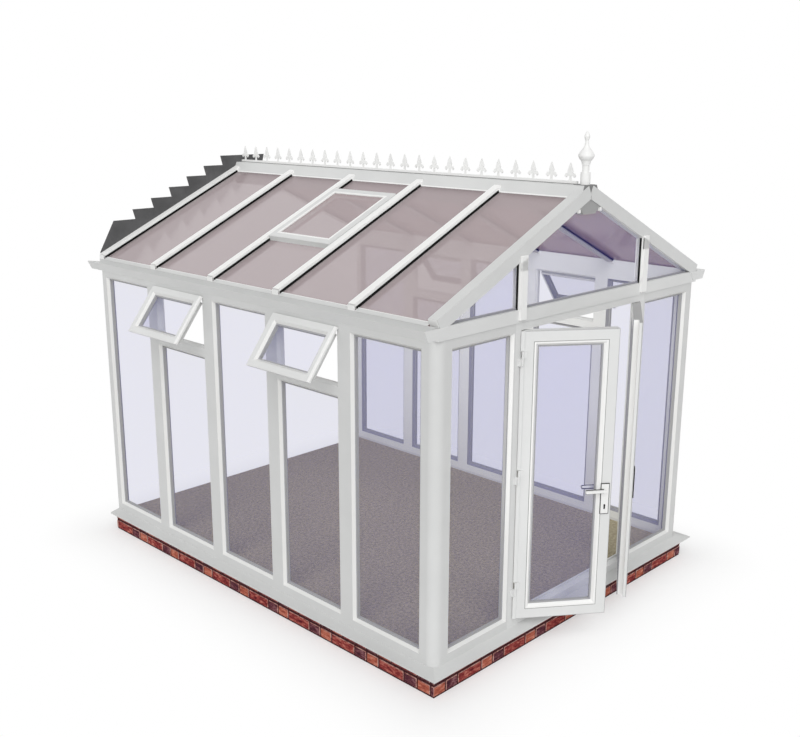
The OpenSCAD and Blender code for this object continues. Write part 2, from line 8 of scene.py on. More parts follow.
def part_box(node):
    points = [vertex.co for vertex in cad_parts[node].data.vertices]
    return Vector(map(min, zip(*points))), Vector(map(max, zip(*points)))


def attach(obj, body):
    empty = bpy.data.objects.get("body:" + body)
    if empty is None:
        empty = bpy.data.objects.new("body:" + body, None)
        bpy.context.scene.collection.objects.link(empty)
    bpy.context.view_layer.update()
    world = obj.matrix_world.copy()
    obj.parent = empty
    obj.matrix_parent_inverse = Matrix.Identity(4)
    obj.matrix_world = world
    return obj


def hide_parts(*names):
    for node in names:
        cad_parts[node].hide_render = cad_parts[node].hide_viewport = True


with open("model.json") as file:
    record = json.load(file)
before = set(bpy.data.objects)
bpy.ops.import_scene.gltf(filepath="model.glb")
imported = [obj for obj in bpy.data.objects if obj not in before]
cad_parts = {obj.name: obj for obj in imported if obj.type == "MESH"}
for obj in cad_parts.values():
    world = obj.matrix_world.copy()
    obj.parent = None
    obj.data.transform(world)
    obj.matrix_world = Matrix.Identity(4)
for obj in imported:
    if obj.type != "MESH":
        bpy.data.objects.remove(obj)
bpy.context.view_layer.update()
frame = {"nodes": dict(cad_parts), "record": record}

print("frame loaded:", len(frame["nodes"]), "nodes")

# Sizes shared with the frame, in metres
wallLeft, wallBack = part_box("left_plinth")[0].x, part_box("left_plinth")[1].y
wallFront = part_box("front_plinth")[0].y
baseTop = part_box("front_plinth")[1].z
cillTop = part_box("left_cill")[1].z
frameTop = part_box("left_fixed_windows")[1].z
frameHeight = frameTop - cillTop
halfWidth = -wallLeft
profile = {"frameIn": 0.028, "frameDepth": 0.065, "sight": 0.058, "bead": 0.015, "glass": 0.024,
           "transomZ": 1.612, "transom": 0.060, "sashLap": 0.010, "sashSight": 0.046, "sashDepth": 0.060,
           "sashLip": 0.018, "sashOpen": 37, "bays": 5, "doorLap": 0.044}
# Small steps that keep two faces off one plane
fit = {"touch": 0.0001, "near": 0.0002, "clear": 0.0003, "free": 0.0004, "margin": 0.001}
wallIn = profile["frameIn"] + profile["frameDepth"]
bayWidth = (wallBack - wallFront - wallIn) / profile["bays"]
roof = {"pitch": math.radians(25), "capWidth": 0.060, "capHeight": 0.034, "flangeWidth": 0.050,
        "flangeHeight": 0.025, "barStart": 0.033, "glassStart": 0.014, "barFirst": 0.720, "barStep": 0.721,
        "ridgeFoot": 0.101, "ridgeFlat": 0.065, "ridgeRise": 0.079, "beamHalf": 0.103, "rafterUnder": 0.058}
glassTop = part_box("right_roof_glass")[1]
roofApex = glassTop.z + math.tan(roof["pitch"]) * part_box("right_roof_glass")[0].x
barMiddles = [roof["barFirst"] + i * roof["barStep"] for i in range(4)]
barMiddles.append(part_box("left_roof_bars")[1].y - wallFront - roof["capWidth"] / 2)
sides = ((1, "left"), (-1, "right"))


# Finishes
def startMaterial(name):
    material = bpy.data.materials.new(name)
    material.use_nodes = True
    nodes = material.node_tree.nodes
    shader = nodes["Principled BSDF"]
    coords = nodes.new("ShaderNodeTexCoord")
    coords.location = (-1000, 0)
    return material, nodes, material.node_tree.links, shader, coords


def addNoise(nodes, links, coords, scale, detail=4.0, rough=0.6, stretch=(1, 1, 1), turn=(0, 0, 0)):
    mapping = nodes.new("ShaderNodeMapping")
    mapping.inputs["Scale"].default_value = stretch
    mapping.inputs["Rotation"].default_value = turn
    noise = nodes.new("ShaderNodeTexNoise")
    noise.inputs["Scale"].default_value = scale
    noise.inputs["Detail"].default_value = detail
    noise.inputs["Roughness"].default_value = rough
    links.new(coords.outputs["Object"], mapping.inputs["Vector"])
    links.new(mapping.outputs["Vector"], noise.inputs["Vector"])
    return noise


def addRamp(nodes, links, source, stops):
    ramp = nodes.new("ShaderNodeValToRGB")
    elements = ramp.color_ramp.elements
    for i, (position, colour) in enumerate(stops):
        stop = elements[i] if i < 2 else elements.new(position)
        stop.position = position
        stop.color = (*colour, 1)
    links.new(source.outputs["Fac"], ramp.inputs["Fac"])
    return ramp


def addBump(nodes, links, source, shader, strength, distance):
    bump = nodes.new("ShaderNodeBump")
    bump.inputs["Strength"].default_value = strength
    bump.inputs["Distance"].default_value = distance
    links.new(source.outputs["Fac"], bump.inputs["Height"])
    links.new(bump.outputs["Normal"], shader.inputs["Normal"])


def shade(colour, amount):
    return tuple(min(1.0, c * amount) for c in colour)


def plasticFinish(name, colour, rough=0.42, variation=0.02):
    material, nodes, links, shader, coords = startMaterial(name)
    cloud = addNoise(nodes, links, coords, 2.5, 3)
    stops = [(0.35, shade(colour, 1 - variation)), (0.65, shade(colour, 1 + variation))]
    ramp = addRamp(nodes, links, cloud, stops)
    links.new(ramp.outputs["Color"], shader.inputs["Base Color"])
    fine = addNoise(nodes, links, coords, 90, 2)
    addBump(nodes, links, fine, shader, 0.04, 0.001)
    shader.inputs["Roughness"].default_value = rough
    shader.inputs["Specular IOR Level"].default_value = 0.25
    return material


def glassFinish(name, colour, alpha, rough, paintedUnderShade=None):
    material, nodes, links, shader, coords = startMaterial(name)
    cloud = addNoise(nodes, links, coords, 0.8, 2)
    ramp = addRamp(nodes, links, cloud, [(0.3, shade(colour, 0.98)), (0.7, shade(colour, 1.02))])
    if paintedUnderShade:  # painted shade: the faces that look down get the darker colour
        split = nodes.new("ShaderNodeSeparateXYZ")
        upward = nodes.new("ShaderNodeMath")
        upward.operation = "GREATER_THAN"
        upward.inputs[1].default_value = 0.0
        underShadeMix = nodes.new("ShaderNodeMix")
        underShadeMix.data_type = "RGBA"
        underShadeMix.inputs["A"].default_value = (*paintedUnderShade, 1)
        links.new(coords.outputs["Normal"], split.inputs[0])
        links.new(split.outputs["Z"], upward.inputs[0])
        links.new(upward.outputs[0], underShadeMix.inputs["Factor"])
        links.new(ramp.outputs["Color"], underShadeMix.inputs["B"])
        links.new(underShadeMix.outputs["Result"], shader.inputs["Base Color"])
    else:
        links.new(ramp.outputs["Color"], shader.inputs["Base Color"])
    shader.inputs["Alpha"].default_value = alpha
    shader.inputs["Roughness"].default_value = rough
    shader.inputs["Specular IOR Level"].default_value = 0.15
    return material


def brickFinish(name, dark, middle, light):
    material, nodes, links, shader, coords = startMaterial(name)
    streaks = addNoise(nodes, links, coords, 17, 5, 0.68, (1, 1, 2.6), (0.5, 0.6, 0.2))
    ramp = addRamp(nodes, links, streaks, [(0.36, dark), (0.66, light), (0.50, middle)])
    links.new(ramp.outputs["Color"], shader.inputs["Base Color"])
    pits = addNoise(nodes, links, coords, 140, 4, 0.7)
    addBump(nodes, links, pits, shader, 0.5, 0.003)
    shader.inputs["Roughness"].default_value = 0.88
    shader.inputs["Specular IOR Level"].default_value = 0.2
    return material


def mineralFinish(name, dark, light, scale, bump):
    material, nodes, links, shader, coords = startMaterial(name)
    specks = addNoise(nodes, links, coords, scale, 5, 0.75)
    ramp = addRamp(nodes, links, specks, [(0.40, dark), (0.60, light)])
    links.new(ramp.outputs["Color"], shader.inputs["Base Color"])
    addBump(nodes, links, specks, shader, bump, 0.002)
    shader.inputs["Roughness"].default_value = 0.95
    shader.inputs["Specular IOR Level"].default_value = 0.1
    return material


def leadFinish(name):
    material, nodes, links, shader, coords = startMaterial(name)
    bloom = addNoise(nodes, links, coords, 7, 5, 0.6)
    ramp = addRamp(nodes, links, bloom, [(0.35, (0.085, 0.085, 0.087)), (0.65, (0.112, 0.112, 0.115))])
    links.new(ramp.outputs["Color"], shader.inputs["Base Color"])
    dents = addNoise(nodes, links, coords, 11, 2)
    addBump(nodes, links, dents, shader, 0.15, 0.01)
    shader.inputs["Roughness"].default_value = 0.6
    shader.inputs["Specular IOR Level"].default_value = 0.3
    return material


def steelFinish(name):
    material, nodes, links, shader, coords = startMaterial(name)
    brushed = addNoise(nodes, links, coords, 60, 3, 0.6, (1, 1, 12))
    ramp = addRamp(nodes, links, brushed, [(0.3, (0.76, 0.76, 0.75)), (0.7, (0.84, 0.84, 0.83))])
    links.new(ramp.outputs["Color"], shader.inputs["Base Color"])
    addBump(nodes, links, brushed, shader, 0.06, 0.0005)
    shader.inputs["Metallic"].default_value = 0.15
    shader.inputs["Roughness"].default_value = 0.38
    return material


# Copies of one white plastic, toned part by part as painted light: the darker post, frame, cill and rafter
# tones are painted shade, and the brighter trim and bar tones are painted highlight.
whitePlastic = plasticFinish("white window plastic", (0.70, 0.705, 0.70))
postPlastic = plasticFinish("corner post plastic", (0.64, 0.645, 0.64))
framePlastic = plasticFinish("window frame plastic", (0.62, 0.625, 0.62))
cillPlastic = plasticFinish("cill plastic", (0.60, 0.605, 0.60))
beadPlastic = plasticFinish("glazing bead plastic", (0.75, 0.75, 0.74), 0.36, 0.01)
trimPlastic = plasticFinish("bright trim plastic", (0.85, 0.85, 0.84), 0.36, 0.01)
highlightPlastic = plasticFinish("plastic with painted highlight", (0.90, 0.90, 0.89), 0.36, 0.01)
rafterPlastic = plasticFinish("rafter plastic", (0.66, 0.665, 0.66))
beamGrey = plasticFinish("grey coated beam", (0.36, 0.36, 0.36), 0.5)
ridgeShadeGrey = plasticFinish("dark grey painted shade at the ridge end", (0.22, 0.22, 0.22), 0.6)
spacerGrey = plasticFinish("grey glazing spacer", (0.41, 0.41, 0.375), 0.7)
doorShadeGrey = plasticFinish("grey painted shade on doors", (0.42, 0.42, 0.42), 0.6)
slateAndShadeGrey = plasticFinish("blue grey bead and painted shade", (0.30, 0.30, 0.33), 0.7)
sleeveGrey = plasticFinish("grey bar sleeve", (0.46, 0.45, 0.45), 0.6)
trimShadeGrey = plasticFinish("grey trim with painted shade", (0.65, 0.655, 0.65))
seamGrey = plasticFinish("grey seam seal", (0.30, 0.30, 0.295), 0.7)
rubberAndShadowBlack = plasticFinish("black rubber seal and painted shadow line", (0.004, 0.004, 0.004), 0.75, 0.1)
clearGlass = glassFinish("clear sealed glass", (0.045, 0.045, 0.42), 0.12, 0.08)
# The roof glass's last colour is painted shade on the faces that look down.
tintedGlass = glassFinish("tinted roof glass", (0.412, 0.340, 0.350), 0.65, 0.12, (0.262, 0.130, 0.132))
leadSheet = leadFinish("dull lead sheet")
satinSteel = steelFinish("satin steel")
brickTones = {
    "red": brickFinish("red brick", (0.09, 0.006, 0.012), (0.27, 0.040, 0.036), (0.55, 0.20, 0.15)),
    "orange": brickFinish("orange brick", (0.25, 0.052, 0.036), (0.43, 0.115, 0.070), (0.60, 0.25, 0.18)),
    "purple": brickFinish("purple brick", (0.035, 0.008, 0.016), (0.105, 0.024, 0.036), (0.28, 0.13, 0.14))}
# Painted highlight: the light colour of the bricks' bevelled edges.
brickEdgeHighlight = mineralFinish("brick edge painted highlight", (0.26, 0.09, 0.075), (0.60, 0.36, 0.31), 30, 0.3)
mortar = mineralFinish("dark mortar", (0.040, 0.010, 0.014), (0.085, 0.030, 0.032), 60, 0.4)
floorSpeckle = mineralFinish("speckled floor covering", (0.300, 0.265, 0.188), (0.466, 0.412, 0.293), 46, 0.2)
concrete = mineralFinish("plain concrete", (0.28, 0.27, 0.25), (0.36, 0.35, 0.33), 25, 0.3)
slotFinish = {"white_plastic": whitePlastic, "ridge_beam": beamGrey, "glass": clearGlass,
              "roof_glass": tintedGlass, "brick": brickTones["red"], "floor": concrete,
              "handle": satinSteel, "lead": leadSheet}
# The part tones below are painted light: darker tones are painted shade, brighter ones painted highlight.
nodeFinish = {"front_cill": postPlastic, "left_cill": cillPlastic, "right_cill": cillPlastic,
              "left_fixed_windows": framePlastic, "left_opening_windows": framePlastic,
              "front_windows": postPlastic, "left_corner_post": postPlastic,
              "right_corner_post": postPlastic, "gable_uprights": trimPlastic,
              "left_roof_bars": highlightPlastic, "right_roof_bars": highlightPlastic, "cresting": trimPlastic,
              "finial": trimPlastic, "left_front_rafter": rafterPlastic,
              "right_front_rafter": rafterPlastic, "ridge_cap": rafterPlastic}
for part in frame["record"]["subparts"]:
    node = frame["nodes"][part["node"]]
    node.data.materials.clear()
    node.data.materials.append(nodeFinish.get(part["node"], slotFinish[part["material_slot"]]))
    if "glass" in part["material_slot"]:  # the studio light reaches the inside
        node.visible_shadow = False
        node.visible_diffuse = False
    if "gutter" in part["node"]:  # soft light also reaches the heads of the windows
        node.visible_shadow = False
print("finishes on all frame nodes")


# Shared shaping
softenFrom = 0.5  # radians between the two faces of an edge


def addBlock(bm, corner, opposite, place=Matrix.Identity(4)):
    low = Vector(map(min, corner, opposite))
    high = Vector(map(max, corner, opposite))
    made = bmesh.ops.create_cube(bm, size=1)["verts"]
    bmesh.ops.scale(bm, vec=high - low, verts=made)
    bmesh.ops.translate(bm, vec=(low + high) / 2, verts=made)
    bmesh.ops.transform(bm, matrix=place, verts=made)
    return made


def softenEdges(bm, width):
    sharp = [e for e in bm.edges if e.is_manifold and e.calc_face_angle(0) > softenFrom]
    bmesh.ops.bevel(bm, geom=sharp, offset=width, segments=1, profile=0.5, affect="EDGES", material=-1)


def startRim(bm, middle, size, width):  # flat frame in x and z, with its hole's corners
    grid = bmesh.ops.create_grid(bm, x_segments=1, y_segments=1, size=0.5)["verts"]
    bmesh.ops.scale(bm, vec=(size[0], size[1], 1), verts=grid)
    stand = Matrix.Translation(middle) @ Matrix.Rotation(math.pi / 2, 4, "X")
    bmesh.ops.transform(bm, matrix=stand, verts=grid)
    hole = grid[0].link_faces[0]
    rim = bmesh.ops.inset_region(bm, faces=[hole], thickness=width, use_even_offset=True,
                                 use_boundary=True)["faces"]
    inner = list(hole.verts)
    bmesh.ops.delete(bm, geom=[hole], context="FACES")
    return rim, inner


def thickenRim(bm, rim, depth, place):  # the rim gets its thickness along y and its place
    pushed = bmesh.ops.extrude_face_region(bm, geom=rim, use_keep_orig=True)["geom"]
    back = [v for v in pushed if isinstance(v, bmesh.types.BMVert)]
    bmesh.ops.translate(bm, vec=(0, depth, 0), verts=back)
    bmesh.ops.transform(bm, matrix=place, verts=list({v for f in rim for v in f.verts} | set(back)))


def addRing(bm, low, high, width, depth, place):
    middle = ((low[0] + high[0]) / 2, 0, (low[1] + high[1]) / 2)
    rim, inner = startRim(bm, middle, (high[0] - low[0], high[1] - low[1]), width)
    thickenRim(bm, rim, depth, place)


def addPiece(name, bm, materials, body="root"):
    bmesh.ops.remove_doubles(bm, verts=bm.verts, dist=0.00001)
    bmesh.ops.recalc_face_normals(bm, faces=bm.faces)
    mesh = bpy.data.meshes.new(name)
    bm.to_mesh(mesh)
    bm.free()
    piece = bpy.data.objects.new(name, mesh)
    bpy.context.scene.collection.objects.link(piece)
    for material in materials:
        mesh.materials.append(material)
    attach(piece, body)
    return piece


def addBlockPiece(name, blocks, material, body="root", soft=0.0):
    bm = bmesh.new()
    for corner, opposite, place in blocks:
        addBlock(bm, corner, opposite, place)
    if soft:
        softenEdges(bm, soft)
    return addPiece(name, bm, [material], body)


def roofZ(out):  # height of the glass at this distance from the middle
    return roofApex - math.tan(roof["pitch"]) * out


def roofPlace(side, y=0.0):  # x up the slope, z square to the glass, y to the house
    slope = Matrix.Rotation(-roof["pitch"], 4, "Y")
    if side < 0:
        slope = Matrix.Rotation(math.pi, 4, "Z") @ slope
    return Matrix.Translation((-side * halfWidth, wallFront + y, roofZ(halfWidth))) @ slope


# Brick base
bricks = {"height": 0.065, "joint": 0.010, "bedJoint": 0.017, "recess": 0.004, "depth": 0.1025,
          "bevel": 0.004, "shift": 0.1125, "cornerSlip": 0.025, "shortest": 0.015, "courses": 2,
          "run": [("orange", 0.1025), ("purple", 0.1025), ("red", 0.215)]}
toneNames = [tone for tone, size in bricks["run"]]
toneMaterials = [brickTones[tone] for tone in toneNames] + [brickEdgeHighlight]
highlightIndex = len(toneNames)
nearlySquare = 0.9  # a normal's largest part on a face that isn't a bevel


def courseOf(length, shift):
    spans, along, i = [], -shift, 0
    while along < length:
        tone, size = bricks["run"][i % len(bricks["run"])]
        a, b = max(along, 0), min(along + size, length)
        if b - a > bricks["shortest"]:
            spans.append((a, b, tone))
        along += size + bricks["joint"]
        i += 1
    return spans


def brickWall(name, node, length, depth, place, cornerFaces):
    bm = bmesh.new()
    for course in range(bricks["courses"]):
        z = bricks["joint"] + course * (bricks["height"] + bricks["bedJoint"])
        top = baseTop if course else z + bricks["height"]
        for a, b, tone in courseOf(length, course * bricks["shift"]):
            verts = addBlock(bm, (a, 0, z), (b, depth, top))
            atCorner = a < fit["margin"] or b > length - fit["margin"]
            for face in {f for v in verts for f in v.link_faces}:
                face.material_index = toneNames.index(tone)
                if cornerFaces and atCorner and abs(face.normal.x) > nearlySquare:
                    face.material_index = toneNames.index("purple")
    softenEdges(bm, bricks["bevel"])
    bm.normal_update()
    # The bevel faces get the painted highlight.
    for face in bm.faces:
        if max(abs(n) for n in face.normal) < nearlySquare:
            face.material_index = highlightIndex
    bmesh.ops.transform(bm, matrix=place, verts=bm.verts)
    wall = addPiece(name, bm, toneMaterials, "root")
    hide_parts(node)


sideStart = wallFront + bricks["cornerSlip"] + bricks["joint"]
sideLength = wallBack - wallFront - bricks["cornerSlip"] - bricks["joint"]
frontPlace = Matrix.Translation((wallLeft, wallFront, 0))
swapXY = Matrix(((0, 1, 0, 0), (1, 0, 0, 0), (0, 0, 1, 0), (0, 0, 0, 1)))
leftPlace = Matrix.Translation((wallLeft, sideStart, 0)) @ swapXY
rightPlace = Matrix.Diagonal((-1, 1, 1, 1)) @ leftPlace
brickWall("front_bricks", "front_plinth", 2 * halfWidth, bricks["cornerSlip"], frontPlace, True)
brickWall("left_bricks", "left_plinth", sideLength, bricks["depth"], leftPlace, False)
brickWall("right_bricks", "right_plinth", sideLength, bricks["depth"], rightPlace, False)
back = bricks["recess"]
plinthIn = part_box("front_plinth")[1].y - wallFront
world = Matrix.Identity(4)
blocks = [((wallLeft + back, wallFront + back, 0), (-wallLeft - back, wallFront + plinthIn, baseTop), world)]
for side in (-1, 1):
    blocks.append(((side * (halfWidth - back), wallFront + plinthIn, 0),
                   (side * (halfWidth - plinthIn), wallBack - back, baseTop), world))
addBlockPiece("base_mortar", blocks, mortar, "root")
print("brick base done")

# Floor covering
covering = {"thickness": 0.004, "gap": 0.001, "soft": 0.001}
edge = halfWidth - wallIn - covering["gap"]
addBlockPiece("floor_covering", [((-edge, wallFront + wallIn + covering["gap"], baseTop),
                                  (edge, wallBack, baseTop + covering["thickness"]), world)],
              floorSpeckle, "root", covering["soft"])
print("floor covering done")

# Spacers inside the sealed units, and the sloping beads that hold them
spacer = {"width": 0.009, "inset": 0.001}
bead = {"proud": 0.0008, "thickness": 0.0007}


def addSpacer(bm, w, h, face, depth, place):
    edge = face + profile["bead"] + fit["free"]
    front = (depth - profile["glass"]) / 2 + spacer["inset"]
    addRing(bm, (edge, edge), (w - edge, h - edge), spacer["width"], profile["glass"] - 2 * spacer["inset"],
            place @ Matrix.Translation((0, front, 0)))


def addBead(bm, w, h, face, depth, place, way=1, level=0.0):
    middle = (w / 2, level - way * bead["proud"], h / 2)
    rim, inner = startRim(bm, middle, (w - 2 * face, h - 2 * face), profile["bead"])
    bmesh.ops.translate(bm, vec=(0, way * (depth - profile["glass"]) / 2, 0), verts=inner)
    thickenRim(bm, rim, way * bead["thickness"], place)


# Beads on the room side, painted blue grey as shade.
def addRoomBead(bm, w, h, face, depth, place):
    addBead(bm, w, h, face, depth, place, -1, depth)


def finishUnits(name, units, body, outside):
    for kind, addTo, material, slotName in (("spacers", addSpacer, spacerGrey, "glass"),
                                            ("beads", addBead, outside, "white_plastic"),
                                            ("room_beads", addRoomBead, slateAndShadeGrey, "white_plastic")):
        bm = bmesh.new()
        for unit in units:
            addTo(bm, *unit)
        addPiece(name + "_" + kind, bm, [material], body)


def sidePlace(side, bay):
    start = Vector((-side * (halfWidth - profile["frameIn"]), wallBack, cillTop))
    if side < 0:
        start.y = wallFront + wallIn
    turn = Matrix.Rotation(-side * math.pi / 2, 4, "Z")
    return Matrix.Translation(start) @ turn @ Matrix.Translation((bay * bayWidth, 0, 0))


sashEdge = {"wide": 0.020, "proud": 0.0012, "soft": 0.002}
sashIn = profile["sight"] - profile["sashLap"]
sashWidth = bayWidth - 2 * profile["sight"] + 2 * profile["sashLap"]
sashHeight = frameHeight - profile["sight"] - profile["transomZ"] + 2 * profile["sashLap"]
hung = (Matrix.Translation((sashIn, 0, frameHeight - profile["sight"] + profile["sashLap"]))
        @ Matrix.Rotation(-math.radians(profile["sashOpen"]), 4, "X")
        @ Matrix.Translation((0, -profile["sashLip"], -sashHeight)))
lowHeight = profile["transomZ"] - profile["transom"] + profile["sight"]
for side, name in sides:
    units, edges = [], []
    for bay in range(profile["bays"]):
        place = sidePlace(side, bay)
        if bay % 2:  # fixed pane below, open sash above
            units.append((bayWidth, lowHeight, profile["sight"], profile["frameDepth"], place))
            units.append((sashWidth, sashHeight, profile["sashSight"], profile["sashDepth"], place @ hung))
            end, inward = (sashWidth, -1) if side > 0 else (0.0, 1)
            edges.append(((end + inward * sashEdge["wide"], -sashEdge["proud"], 0),
                          (end - inward * sashEdge["proud"], profile["sashLip"], sashHeight), place @ hung))
        else:
            units.append((bayWidth, frameHeight, profile["sight"], profile["frameDepth"], place))
    finishUnits(name + "_window", units, "root", beadPlastic)
    addBlockPiece(name + "_sash_edges", edges, trimPlastic, soft=sashEdge["soft"])

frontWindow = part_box("door_frame")[0].x + profile["doorLap"] + halfWidth - wallIn
units = [(frontWindow, frameHeight, profile["sight"], profile["frameDepth"],
          Matrix.Translation((x, wallFront + profile["frameIn"], cillTop)))
         for x in (wallLeft + wallIn, -wallLeft - wallIn - frontWindow)]
finishUnits("front_window", units, "root", beadPlastic)
print("window glazing done")

# Doors
door = {"stile": 0.080, "depth": 0.060, "gap": 0.005, "pinX": 0.7815, "pinY": 0.010, "faceOut": 0.008,
        "width": 0.612, "height": 1.926, "openLeft": 37, "openRight": 33, "foot": 0.055,
        "seamAt": 0.066, "sealWidth": 0.004, "sealProud": 0.0009, "sealDeep": 0.003}
hingeCover = {"over": 0.008, "past": 0.0165, "out": 0.0055, "soft": 0.0015,
              "runs": ((0.0, 0.168), (0.262, 0.938), (1.032, 1.708), (1.802, door["height"]))}
leafEnd = {"lip": 0.022, "edge": 0.005, "reach": 0.088, "up": 0.030, "seal": 0.0045, "inside": 0.014,
           "plate": 0.0008, "half": 0.0005, "topPlate": 0.0012, "topIn": 0.002}
edgeLine = {"width": 0.0028, "deep": 0.002, "proud": 0.0008}


def doorPlace(side):
    pin = Vector((-side * (halfWidth - door["pinX"]), wallFront + door["pinY"], cillTop + door["foot"]))
    swing = -math.radians(door["openLeft"]) if side > 0 else math.radians(door["openRight"])
    along = door["gap"] / 2 if side > 0 else -door["gap"] / 2 - door["width"]
    return (Matrix.Translation(pin) @ Matrix.Rotation(swing, 4, "Z")
            @ Matrix.Translation((along, door["faceOut"], 0)))


for side, name in ((1, "left_door"), (-1, "right_door")):
    place = doorPlace(side)
    unit = (door["width"], door["height"], door["stile"], door["depth"], place)
    finishUnits(name, [unit], name, trimPlastic)
    faceAt = door["seamAt"] + door["sealWidth"]
    for kind, edge, wide, material in (("_bead_seams", door["seamAt"], door["sealWidth"], seamGrey),
                                       ("_bead_faces", faceAt, door["stile"] - faceAt, trimPlastic)):
        bm = bmesh.new()
        for y, deep in ((-door["sealProud"], door["sealDeep"]),
                        (door["depth"] + door["sealProud"], -door["sealDeep"])):
            addRing(bm, (edge, edge), (door["width"] - edge, door["height"] - edge), wide, deep,
                    place @ Matrix.Translation((0, y, 0)))
        addPiece(name + kind, bm, [material], name)
    end, inward = (0.0, 1) if side > 0 else (door["width"], -1)
    covers = [((end - inward * hingeCover["past"], -hingeCover["out"], low),
               (end + inward * hingeCover["over"], -fit["near"], high), place)
              for low, high in hingeCover["runs"]]
    addBlockPiece(name + "_hinge_cover", covers, whitePlastic, name, soft=hingeCover["soft"])

place = doorPlace(-1)  # painted highlight on the free edge of the right leaf, which shows its stepped end: the body's end and the back of the lip are bright plastic against their shade, the lip's own end plain white plastic
outer, reach = -leafEnd["plate"], -leafEnd["reach"]
lipFoot = leafEnd["up"] + fit["margin"]
leafTop = door["height"] - fit["margin"]
sealFront = door["depth"] - leafEnd["seal"]
bm = bmesh.new()
addBlock(bm, (outer, leafEnd["lip"] + fit["margin"], fit["margin"]),
         (-fit["touch"], sealFront, leafTop), place)
lipEnd = addBlock(bm, (reach + outer, leafEnd["edge"], lipFoot),
                  (reach - fit["touch"], leafEnd["lip"] - leafEnd["half"], leafTop), place)
for face in {f for v in lipEnd for f in v.link_faces}:
    face.material_index = 1
addBlock(bm, (reach, leafEnd["lip"] + fit["touch"], lipFoot),
         (outer, leafEnd["lip"] + leafEnd["plate"], leafTop), place)
addPiece("right_door_end_highlight", bm, [highlightPlastic, whitePlastic], "right_door")
blocks = [((outer, sealFront, fit["margin"]),
           (-fit["touch"], door["depth"] + leafEnd["plate"], leafTop), place),
          ((0.0, door["depth"] + fit["touch"], fit["margin"]),
           (leafEnd["inside"], door["depth"] + fit["touch"] + leafEnd["plate"], leafTop), place)]
addBlockPiece("right_door_end_seal", blocks, slateAndShadeGrey, "right_door")
# Painted shade: a grey strip down the outer edge of the lip's end, and grey sheets on the tops of the right
# leaf and its lip.
low, high = door["height"] + fit["touch"], door["height"] + leafEnd["topPlate"]
inset = leafEnd["topIn"]
blocks = [((reach + outer, leafEnd["half"], lipFoot),
           (reach - fit["touch"], leafEnd["edge"] - fit["near"], leafTop), place),
          ((inset, inset, low), (door["width"] - inset, door["depth"] - inset, high), place),
          ((reach, fit["margin"], low), (inset, leafEnd["lip"] - fit["margin"], high), place)]
addBlockPiece("right_door_top_shade", blocks, doorShadeGrey, "right_door")
# Painted shade: a dark grey outline round the edge of the left leaf's outer face.
bm = bmesh.new()
addRing(bm, (0, 0), (door["width"], door["height"]), edgeLine["width"], edgeLine["deep"],
        doorPlace(1) @ Matrix.Translation((0, -edgeLine["proud"], 0)))
addPiece("left_door_edge_shade", bm, [doorShadeGrey], "left_door")
print("door trims done")

# Roof seals, sleeves, clips and trims
seal = {"height": 0.017, "width": 0.0045, "underHeight": 0.013, "underWidth": 0.006,
        "shortTop": 0.002, "shortUnder": 0.010}
sleeve = {"thick": 0.0008, "short": 0.012}
clip = {"thickness": 0.003, "over": 0.040, "below": 0.003, "out": 0.016, "width": 0.064, "shift": 0.004,
        "rafterHalf": 0.0335, "rafterBelow": 0.050, "rafterOver": 0.034, "soft": 0.0008}
cap = {"top": 0.020, "side": 0.001, "plate": 0.0015, "short": 0.004}
sideShade = {"width": 0.016, "thickness": 0.004, "soft": 0.001}
trim = {"deep": 0.046, "reach": 0.052, "thickness": 0.0025, "line": 0.006, "lineHigh": 0.0035,
        "front": 0.0025, "under": 0.004, "first": 0.030, "past": 0.028, "soft": 0.0006, "lineSoft": 0.0008}
barFoot = roof["barStart"] / math.cos(roof["pitch"])
glassFoot = roof["glassStart"] / math.cos(roof["pitch"])
wallFoot = wallIn / math.cos(roof["pitch"])
slopeLength = (halfWidth - roof["ridgeFoot"]) / math.cos(roof["pitch"])
glassUnder = -profile["glass"]
capHalf, flangeHalf = roof["capWidth"] / 2, roof["flangeWidth"] / 2
upright = Matrix.Rotation(roof["pitch"], 4, "Y")  # turns a piece on the slope to stand straight
